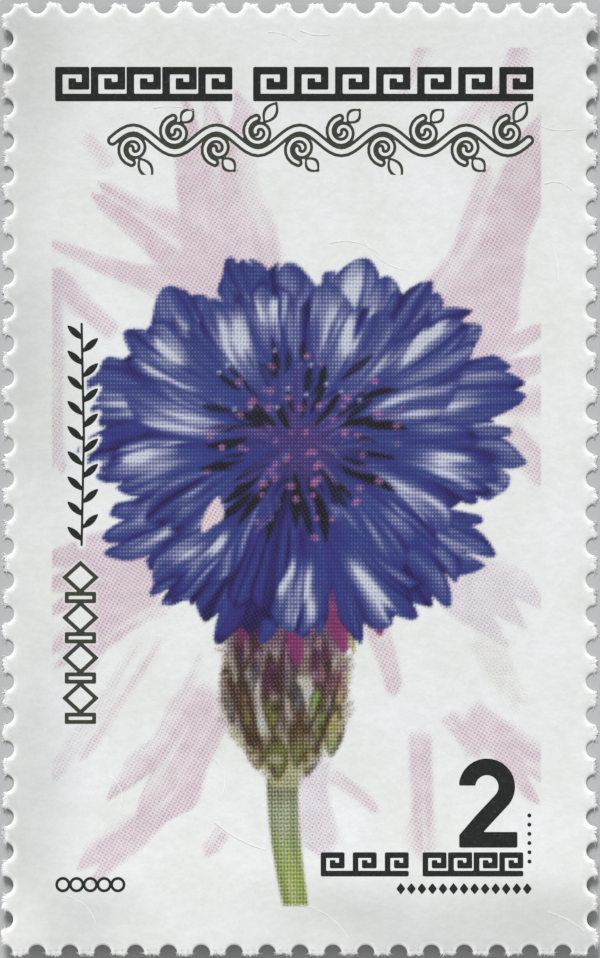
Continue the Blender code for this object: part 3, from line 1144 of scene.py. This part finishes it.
# Each print: its shape, and its window's left, right, bottom and top.
SCROLL_WINDOW = (-8.9, 10.5, 13.3, 16.5)
CHAIN_WINDOW = (-10.5, -8.7, -11.2, -3.5)
SPRIG_WINDOW = (-10.4, -8.6, -3.1, 7.0)
TITLE = two_borders(16.5, 18.0, TITLE_STROKE, (-10.7, -2.95), (-2.05, 10.2))
VALUE = two_borders(-17.35, -16.3, VALUE_STROKE, (0.9, 4.75), (5.35, 9.75))
RINGS = row_of(5, lambda x, y, i: ring_distance(x, y, (-10.35 + 0.6 * i, -17.7), 0.27, 0.06))
LOZENGES = row_of(13, lambda x, y, i: lozenge_distance(x, y, (4.4 + 0.46 * i, -17.88), 0.2, 0.25))
DOTS = row_of(6, lambda x, y, i: np.hypot(x - 10.02, y + 14.7 + 0.4 * i) - 0.09)
SOLID_PRINTS = [
    (TITLE, (-10.9, 10.4, 16.3, 18.2)),
    (VALUE, (0.7, 9.9, -17.5, -16.1)),
    (sprig, SPRIG_WINDOW),
    (figure_two, (6.8, 9.7, -16.3, -12.0)),
    (RINGS, (-10.8, -7.5, -18.2, -17.2)),
    (LOZENGES, (4.1, 10.3, -18.2, -17.5)),
    (DOTS, (9.85, 10.2, -16.9, -14.5)),
]
OUTLINE_PRINTS = [
    (outline_of(scroll, SCROLL_OUTLINE), SCROLL_WINDOW),
    (outline_of(lozenge_chain, CHAIN_OUTLINE), CHAIN_WINDOW),
]


def knock_out(picture):
    """Clear the picture inside the outlined ornaments and close round the sprig."""
    for shape, window, margin in (
        (scroll, SCROLL_WINDOW, 0.0),
        (lozenge_chain, CHAIN_WINDOW, 0.12),
        (sprig, SPRIG_WINDOW, 0.13),
    ):
        area, x, y = picture.window([(window[0], window[2]), (window[1], window[3])], 0)
        picture.mix(area, PAPER, smooth(0.04, -0.04, shape(x, y) - margin))


FILM_STEP = 0.05
FILM_TOP, FILM_BOTTOM = PAPER_TOP + 0.006, PAPER_TOP - 0.004


class FilmMesh:
    """A thin film of ink wherever a shape's distance is below zero, cut to the exact edge in every cell."""

    def __init__(self):
        self.points = []
        self.faces = []
        self.rims = []

    def add(self, shape, window):
        """Fill a shape in its window."""
        left, right, bottom, top = window
        xs = np.arange(left, right + FILM_STEP, FILM_STEP)
        ys = np.arange(bottom, top + FILM_STEP, FILM_STEP)
        values = shape(*np.meshgrid(xs, ys))
        values = np.where(np.abs(values) < 1e-4, 1e-4, values)
        inked = values < 0
        touched = inked[:-1, :-1] | inked[1:, :-1] | inked[:-1, 1:] | inked[1:, 1:]
        numbers = {}
        for j, i in np.argwhere(touched):
            self.add_cell(int(j), int(i), values, xs, ys, numbers)

    def add_cell(self, j, i, values, xs, ys, numbers):
        """The part of one cell that is inked, and the edges where the ink ends."""
        corners = [(j, i), (j, i + 1), (j + 1, i + 1), (j + 1, i)]
        face, on_rim = [], []
        for a, b in zip(corners, corners[1:] + corners[:1]):
            if values[a] < 0:
                face.append(self.number(numbers, (a, a), xs[a[1]], ys[a[0]]))
                on_rim.append(False)
            if (values[a] < 0) != (values[b] < 0):
                share = min(0.94, max(0.06, values[a] / (values[a] - values[b])))
                x = xs[a[1]] + share * (xs[b[1]] - xs[a[1]])
                y = ys[a[0]] + share * (ys[b[0]] - ys[a[0]])
                face.append(self.number(numbers, (min(a, b), max(a, b)), x, y))
                on_rim.append(True)
        self.faces.append(face)
        for k in range(len(face)):
            after = (k + 1) % len(face)
            if on_rim[k] and on_rim[after]:
                self.rims.append((face[k], face[after]))

    def number(self, numbers, key, x, y):
        """The number of a point, which is made when first asked for."""
        if key not in numbers:
            numbers[key] = len(self.points)
            self.points.append((float(x), float(y)))
        return numbers[key]

    def build(self, name, material):
        """The film as a closed object on the paper's face."""
        film = SheetMesh()
        top = film.add(self.points, FILM_TOP)
        low = film.add(self.points, FILM_BOTTOM)
        film.faces += [tuple(top[i] for i in face) for face in self.faces]
        film.faces += [tuple(low[i] for i in reversed(face)) for face in self.faces]
        film.faces += [(top[b], top[a], low[a], low[b]) for a, b in self.rims]
        return make_object(name, film.vertices, film.faces, material)


# Each ink film: its piece, its prints, its ink, and the ink's tint where it is whole and where it is worn.
FILMS = [
    ("black_print", SOLID_PRINTS, "black_ink", (0.007, 0.0078, 0.0078), (0.033, 0.035, 0.035)),
    ("outline_print", OUTLINE_PRINTS, "olive_ink", (0.035, 0.04, 0.026), (0.08, 0.085, 0.07)),
]


def make_films():
    """The black line work and the dark olive outlines."""
    for piece, prints, *ink in FILMS:
        film = FilmMesh()
        for shape, window in prints:
            film.add(shape, window)
        film.build(piece, ink_material(*ink))


# ----------------------------------------
# Fibres.

STRANDS_PER_TOOTH = {"side": 60, "end": 44}
STRAND_LENGTH = {"side": (0.10, 0.30), "end": (0.08, 0.22)}
STRAND_POINTS, STRAND_SEED = 4, 21
LOWEST_STRAND, HIGHEST_STRAND = 0.012, PAPER_TOP - 0.014


class StrandMesh:
    """Thin three-sided strands along lines of points."""

    def __init__(self):
        self.vertices = []
        self.faces = []

    def add(self, points, radius, taper):
        """One strand along points, thinner towards its end."""
        first = len(self.vertices)
        for k, place in enumerate(points):
            ahead = points[min(k + 1, len(points) - 1)]
            behind = points[max(k - 1, 0)]
            along = Vector(ahead) - Vector(behind)
            aside = along.cross(Vector((0.3, 0.2, 1.0))).normalized()
            above = aside.cross(along).normalized()
            thick = radius * (1 - taper * k / (len(points) - 1))
            for turn in (0.0, 2.1, 4.2):
                corner = Vector(place) + thick * (math.cos(turn) * aside + math.sin(turn) * above)
                self.vertices.append(tuple(corner))
        for k in range(len(points) - 1):
            a = first + 3 * k
            self.faces += [(a + i, a + (i + 1) % 3, a + 3 + (i + 1) % 3, a + 3 + i) for i in range(3)]
        last = first + 3 * (len(points) - 1)
        self.faces += [(first + 2, first + 1, first), (last, last + 1, last + 2)]


def tooth_places():
    """Each tooth's middle, its outward direction and whether it is at the sheet's sides or ends."""
    half_x, half_y = ROW_WIDTH / 2, ROW_HEIGHT / 2
    across, up = ROW_WIDTH / PITCHES_ACROSS, ROW_HEIGHT / PITCHES_UP
    places = []
    for i in range(PITCHES_ACROSS):
        x = -half_x + across * (i + 0.5)
        places += [((x, -half_y), (0, -1), "end"), ((x, half_y), (0, 1), "end")]
    for i in range(PITCHES_UP):
        y = -half_y + up * (i + 0.5)
        places += [((-half_x, y), (-1, 0), "side"), ((half_x, y), (1, 0), "side")]
    return places


def make_torn_fibres(material):
    """Fine fibres that stand out of the torn tooth tips."""
    rng = random.Random(STRAND_SEED)
    strands = StrandMesh()
    for (x, y), (ox, oy), where in tooth_places():
        for _ in range(STRANDS_PER_TOOTH[where]):
            beside = rng.uniform(-0.36, 0.36)
            x0 = x + beside * abs(oy) - ox * 0.08
            y0 = y + beside * abs(ox) - oy * 0.08
            length = rng.uniform(*STRAND_LENGTH[where])
            turn = math.atan2(oy, ox) + rng.gauss(0, 0.55)
            z0 = rng.uniform(0.03, 0.105)
            curve, rise = rng.uniform(-1.4, 1.4), rng.uniform(-0.35, 0.08)
            points = []
            for k in range(STRAND_POINTS):
                share = k / (STRAND_POINTS - 1)
                angle = turn + curve * share
                px, py = x0 + length * share * math.cos(angle), y0 + length * share * math.sin(angle)
                height = min(max(z0 + rise * length * share, LOWEST_STRAND), HIGHEST_STRAND)
                points.append((px, py, height + float(lift(px, py))))
            strands.add(points, rng.uniform(0.006, 0.012), 0.6)
    return make_object("torn_fibres", strands.vertices, strands.faces, material)


# Security fibres in the paper: start, end, bend and thickness in mm.
SECURITY_FIBRES = [
    ((-1.4, 19.5), (0.0, 19.0), 0.15, 0.020),
    ((0.0, 19.6), (1.35, 19.4), -0.12, 0.022),
    ((-6.4, 16.2), (-4.2, 15.9), 0.2, 0.018),
    ((10.2, 15.6), (12.1, 15.3), -0.2, 0.022),
    ((10.7, 12.9), (12.0, 12.5), 0.25, 0.022),
    ((1.3, 10.3), (3.5, 9.8), 0.3, 0.022),
    ((2.8, 10.4), (4.7, 9.1), -0.25, 0.020),
    ((10.9, 10.4), (11.3, 8.7), 0.15, 0.018),
    ((-3.7, -15.0), (-1.5, -16.2), -0.15, 0.034),
    ((-8.3, -13.0), (-7.9, -14.5), 0.3, 0.020),
    ((-3.8, -12.2), (-3.4, -13.8), 0.3, 0.020),
    ((-10.2, -18.2), (-8.9, -19.4), 0.25, 0.018),
    ((0.0, -18.6), (2.1, -20.0), 0.3, 0.024),
    ((10.8, -18.9), (12.4, -19.7), 0.1, 0.034),
]


def make_security_fibres(material):
    """Coarse loose fibres that lie in the paper's face, half sunk."""
    strands = StrandMesh()
    for start, end, bend, thickness in SECURITY_FIBRES:
        line = bent_line(start, end, bend, 16)
        points = []
        for k, (x, y) in enumerate(line):
            sink = 0.004 * math.sin(k * 1.1) + 0.15 * thickness
            points.append((x, y, PAPER_TOP + sink + float(lift(x, y))))
        strands.add(points, thickness, 0.3)
    return make_object("security_fibres", strands.vertices, strands.faces, material)


# ----------------------------------------
# Materials.

# Each screen: its two waves in cycles per millimetre, at its own angle for every ink.
SCREENS = {
    "cyan": ((7.32, 0.0), (0.0, 5.85)),
    "magenta": ((5.49, -2.90), (3.66, 5.85)),
    "yellow": ((6.90, 1.85), (-1.85, 6.90)),
    "black": ((5.53, 2.90), (3.66, -5.85)),
}


class Shader:
    """A material with a Principled shader, and short ways to add nodes to it."""

    def __init__(self, name):
        self.material = bpy.data.materials.new(name)
        self.material.use_nodes = True
        self.tree = self.material.node_tree
        self.main = self.tree.nodes["Principled BSDF"]
        self.place = self.add("ShaderNodeTexCoord").outputs["Object"]

    def add(self, kind, **settings):
        """A new node with some of its properties set."""
        node = self.tree.nodes.new(kind)
        for name, value in settings.items():
            setattr(node, name, value)
        return node

    def feed(self, socket, value):
        """Link an output to a socket, or set the socket's own value."""
        if isinstance(value, bpy.types.NodeSocket):
            self.tree.links.new(value, socket)
        else:
            socket.default_value = value

    def maths(self, operation, *values):
        """A Math node's result."""
        node = self.add("ShaderNodeMath", operation=operation)
        for socket, value in zip(node.inputs, values):
            self.feed(socket, value)
        return node.outputs[0]

    def ramp(self, value, low, high, start=0.0, end=1.0, smoothed=True):
        """A value taken from low..high to start..end."""
        node = self.add("ShaderNodeMapRange")
        node.interpolation_type = "SMOOTHSTEP" if smoothed else "LINEAR"
        for name, given in (("Value", value), ("From Min", low), ("From Max", high)):
            self.feed(node.inputs[name], given)
        node.inputs["To Min"].default_value = start
        node.inputs["To Max"].default_value = end
        return node.outputs["Result"]

    def noise(self, per_mm, detail=2.0, roughness=0.5, stretch=(1.0, 1.0, 1.0)):
        """Noise with so many features per millimetre of the sheet."""
        mapping = self.add("ShaderNodeMapping")
        mapping.inputs["Scale"].default_value = [per_mm / MM * s for s in stretch]
        self.feed(mapping.inputs["Vector"], self.place)
        node = self.add("ShaderNodeTexNoise")
        node.inputs["Scale"].default_value = 1.0
        node.inputs["Detail"].default_value = detail
        node.inputs["Roughness"].default_value = roughness
        self.feed(node.inputs["Vector"], mapping.outputs[0])
        return node.outputs["Fac"]

    def mix(self, share, first, second, blend="MIX"):
        """Two colours mixed by a share."""
        node = self.add("ShaderNodeMix", data_type="RGBA", blend_type=blend)
        for socket, value in ((node.inputs[0], share), (node.inputs[6], first), (node.inputs[7], second)):
            self.feed(socket, value)
        return node.outputs[2]

    def bump(self, height, depth_mm, strength=1.0):
        """Feed a bump of this depth to the shader."""
        node = self.add("ShaderNodeBump")
        node.inputs["Strength"].default_value = strength
        node.inputs["Distance"].default_value = depth_mm * MM
        self.feed(node.inputs["Height"], height)
        self.feed(self.main.inputs["Normal"], node.outputs[0])

    def finish(self, colour, roughness, specular=0.4):
        """Feed the shader's main sockets."""
        self.feed(self.main.inputs["Base Color"], colour)
        self.feed(self.main.inputs["Roughness"], roughness)
        self.main.inputs["Specular IOR Level"].default_value = specular
        return self.material


def opaque(colour):
    """A colour with full alpha."""
    return (*colour, 1.0)


def clouded(shader, pattern, low_tint, high_tint, low=0.3, high=0.7):
    """A colour that goes from one tint to another with a pattern."""
    return shader.mix(shader.ramp(pattern, low, high), opaque(low_tint), opaque(high_tint))


def screen_hills(shader, waves):
    """One screen's hill pattern less 1, as in screen_wave."""
    cosines = []
    for wave in waves:
        dot = shader.add("ShaderNodeVectorMath", operation="DOT_PRODUCT")
        shader.feed(dot.inputs[0], shader.place)
        dot.inputs[1].default_value = [2 * math.pi * k / MM for k in wave] + [0.0]
        cosines.append(shader.maths("COSINE", dot.outputs["Value"]))
    return shader.maths("MULTIPLY_ADD", shader.maths("ADD", *cosines), 0.25, -0.5)


def screen_dots(shader, share, level, hills):
    """Cover of one ink: soft dots whose size follows the screen's level, blurred towards their average."""
    dots = shader.ramp(shader.maths("ADD", level, hills), -DOT_EDGE, DOT_EDGE)
    average = shader.maths("MULTIPLY", share, 1 - DOT_CONTRAST)
    return shader.maths("MULTIPLY_ADD", dots, DOT_CONTRAST, average)


def ink_attributes(shader, name):
    """The four inks' values of one kind, as the sheet's vertices carry them."""
    split = shader.add("ShaderNodeSeparateXYZ")
    shader.feed(split.inputs[0], shader.add("ShaderNodeAttribute", attribute_name=name).outputs["Vector"])
    black = shader.add("ShaderNodeAttribute", attribute_name="black_" + name)
    return [*split.outputs, black.outputs["Fac"]]


def painted_margin_shade(shader):
    """Painted shade: the sheet a little darker along its left side and its foot."""
    place = shader.add("ShaderNodeSeparateXYZ")
    shader.feed(place.inputs[0], shader.place)
    left = shader.ramp(place.outputs["X"], -8.5 * MM, -12.5 * MM)
    foot = shader.ramp(place.outputs["Y"], -16.5 * MM, -19.2 * MM)
    most = shader.maths("MAXIMUM", left, foot)
    return shader.maths("MULTIPLY", most, shader.ramp(shader.noise(0.12, 2.0), 0.35, 0.6, 0.25, 1.0))


# Linear tints: the coated paper, what its painted margin shade and its grain are multiplied by, and bare
# paper.
PAPER_LOW, PAPER_HIGH = (0.770, 0.785, 0.770), (0.815, 0.830, 0.840)
MARGIN_SHADE_TINT, GRAIN_TONE, BARE_PAPER = (0.765, 0.77, 0.76), (0.965, 0.965, 0.962), (0.90, 0.90, 0.895)


def paper_material():
    """White coated paper, printed in four screened inks, and bare and fibrous where it is torn."""
    shader = Shader("printed_paper")
    shares, levels = ink_attributes(shader, "shares"), ink_attributes(shader, "levels")
    wear = shader.add("ShaderNodeAttribute", attribute_name="wear").outputs["Fac"]

    cloud = shader.noise(0.25, 3.0)
    paper = clouded(shader, cloud, PAPER_LOW, PAPER_HIGH)
    # Painted shade multiplied into the paper along its left side and its foot.
    paper = shader.mix(painted_margin_shade(shader), paper, opaque(MARGIN_SHADE_TINT), "MULTIPLY")
    grain = shader.ramp(shader.noise(5.0, 3.0, 0.7), 0.32, 0.68)
    weave = shader.ramp(shader.noise(2.2, 2.0, 0.5, (0.8, 1.3, 1.0)), 0.35, 0.65)
    for pattern in (grain, weave):
        paper = shader.mix(pattern, shader.mix(1.0, paper, opaque(GRAIN_TONE), "MULTIPLY"), paper)
    colour = shader.mix(wear, paper, opaque(BARE_PAPER))
    speckle = shader.ramp(shader.noise(9.0, 2.0), 0.2, 0.8, -0.06, 0.06)
    total = 0.0
    hills = {name: screen_hills(shader, waves) for name, waves in SCREENS.items()}
    gap = shader.maths("SUBTRACT", hills["cyan"], hills["magenta"])
    joined = shader.ramp(shares[0], 0.15, 0.5, 0.0, 0.8)
    hills["magenta"] = shader.maths("MULTIPLY_ADD", gap, joined, hills["magenta"])
    for (name, tint), share, level in zip(INKS.items(), shares, levels):
        cover = screen_dots(shader, share, shader.maths("ADD", level, speckle), hills[name])
        colour = shader.mix(cover, colour, opaque(tint), "MULTIPLY")
        total = shader.maths("ADD", total, share)

    relief = shader.maths("ADD", shader.noise(6.0, 3.0, 0.65), shader.noise(1.1, 2.0))
    shader.bump(relief, 0.012, 0.6)
    inked = shader.ramp(total, 0.0, 1.5, 0.62, 0.45, smoothed=False)
    roughness = shader.maths("MULTIPLY_ADD", wear, 0.35, inked)
    return shader.finish(colour, roughness, 0.3)


def gum_material():
    """Dry gum: pale, glossy, brushed on in faint ridges, and finely crazed."""
    shader = Shader("dry_gum")
    cloud = shader.noise(0.2, 3.0)
    colour = clouded(shader, cloud, (0.70, 0.69, 0.62), (0.76, 0.755, 0.70))
    ridges = shader.noise(0.9, 2.0, 0.5, (1.0, 0.12, 1.0))
    crazing = shader.add("ShaderNodeTexVoronoi", feature="DISTANCE_TO_EDGE")
    crazing.inputs["Scale"].default_value = 0.8 / MM
    shader.feed(crazing.inputs["Vector"], shader.place)
    cracks = shader.ramp(crazing.outputs["Distance"], 0.0, 0.03)
    shader.bump(shader.maths("MULTIPLY_ADD", cracks, 0.4, ridges), 0.02, 0.5)
    roughness = shader.ramp(cloud, 0.3, 0.7, 0.24, 0.36)
    return shader.finish(colour, roughness, 0.5)


def ink_material(name, tint, worn):
    """Solid printing ink with a slight sheen, and tiny pinholes where the paper shows through."""
    shader = Shader(name)
    speckle = shader.noise(7.0, 2.0, 0.6)
    colour = clouded(shader, speckle, tint, worn, 0.60, 0.75)
    shader.bump(shader.noise(5.0, 2.0), 0.004, 0.4)
    return shader.finish(colour, shader.ramp(speckle, 0.3, 0.7, 0.38, 0.55), 0.4)


def fibre_material(name, tint):
    """Paper fibres: white, matt and a little uneven in tone."""
    shader = Shader(name)
    cloud = shader.noise(2.0, 2.0)
    colour = clouded(shader, cloud, tuple(0.9 * c for c in tint), tint)
    shader.bump(shader.noise(12.0, 1.0), 0.004, 0.5)
    return shader.finish(colour, shader.ramp(cloud, 0.3, 0.7, 0.75, 0.9), 0.3)


# ----------------------------------------
# Stage, lights and camera.

VIEW_HEIGHT = 41.89
LENS, SENSOR = 150.0, 36.0
TABLE_HALF = 0.6  # metres
KEY_ENERGY, KEY_ANGLE, KEY_TOWARDS = 3.1, 18, (-0.15, 1.0, 0.75)
SOFT_LIGHT = 0.45


def make_stage():
    """A plain pale table under the sheet."""
    shader = Shader("table_top")
    cloud = shader.noise(0.05, 2.0)
    colour = clouded(shader, cloud, (0.47, 0.475, 0.48), (0.49, 0.495, 0.50))
    shader.bump(shader.noise(1.5, 2.0), 0.01, 0.15)
    mesh = bpy.data.meshes.new("table_top")
    corners = [(x * TABLE_HALF, y * TABLE_HALF, 0) for x, y in ((-1, -1), (1, -1), (1, 1), (-1, 1))]
    mesh.from_pydata(corners, [], [(0, 1, 2, 3)])
    mesh.materials.append(shader.finish(colour, 0.8, 0.2))
    floor = bpy.data.objects.new("table_top", mesh)
    bpy.context.scene.collection.objects.link(floor)


def make_lights():
    """Soft light from all round and a broad key from beyond the sheet's top edge."""
    world = bpy.data.worlds.new("studio")
    world.use_nodes = True
    background = world.node_tree.nodes["Background"]
    background.inputs["Color"].default_value = (1.0, 1.0, 1.0, 1.0)
    background.inputs["Strength"].default_value = SOFT_LIGHT
    bpy.context.scene.world = world
    key = bpy.data.lights.new("key", "SUN")
    key.energy = KEY_ENERGY
    key.angle = math.radians(KEY_ANGLE)
    lamp = bpy.data.objects.new("key", key)
    lamp.rotation_mode = "QUATERNION"
    lamp.rotation_quaternion = Vector(KEY_TOWARDS).to_track_quat("Z", "Y")
    bpy.context.scene.collection.objects.link(lamp)


def make_camera():
    """A long lens straight above the sheet."""
    data = bpy.data.cameras.new("camera")
    data.lens = LENS
    data.sensor_width = SENSOR
    data.clip_start, data.clip_end = 0.01, 10.0
    camera = bpy.data.objects.new("camera", data)
    camera.location = (0.0, 0.0, VIEW_HEIGHT * MM / SENSOR * LENS + PAPER_TOP * MM)
    bpy.context.scene.collection.objects.link(camera)
    bpy.context.scene.camera = camera
    bpy.context.scene.view_settings.view_transform = "Standard"


def main():
    """Build every piece of the sheet and its setting."""
    picture = paint_picture()
    make_sheet(paper_material(), picture)
    make_gum(gum_material())
    make_films()
    make_torn_fibres(fibre_material("torn_fibre", (0.88, 0.88, 0.87)))
    make_security_fibres(fibre_material("loose_fibre", (0.93, 0.93, 0.92)))
    make_stage()
    make_lights()
    make_camera()


main()
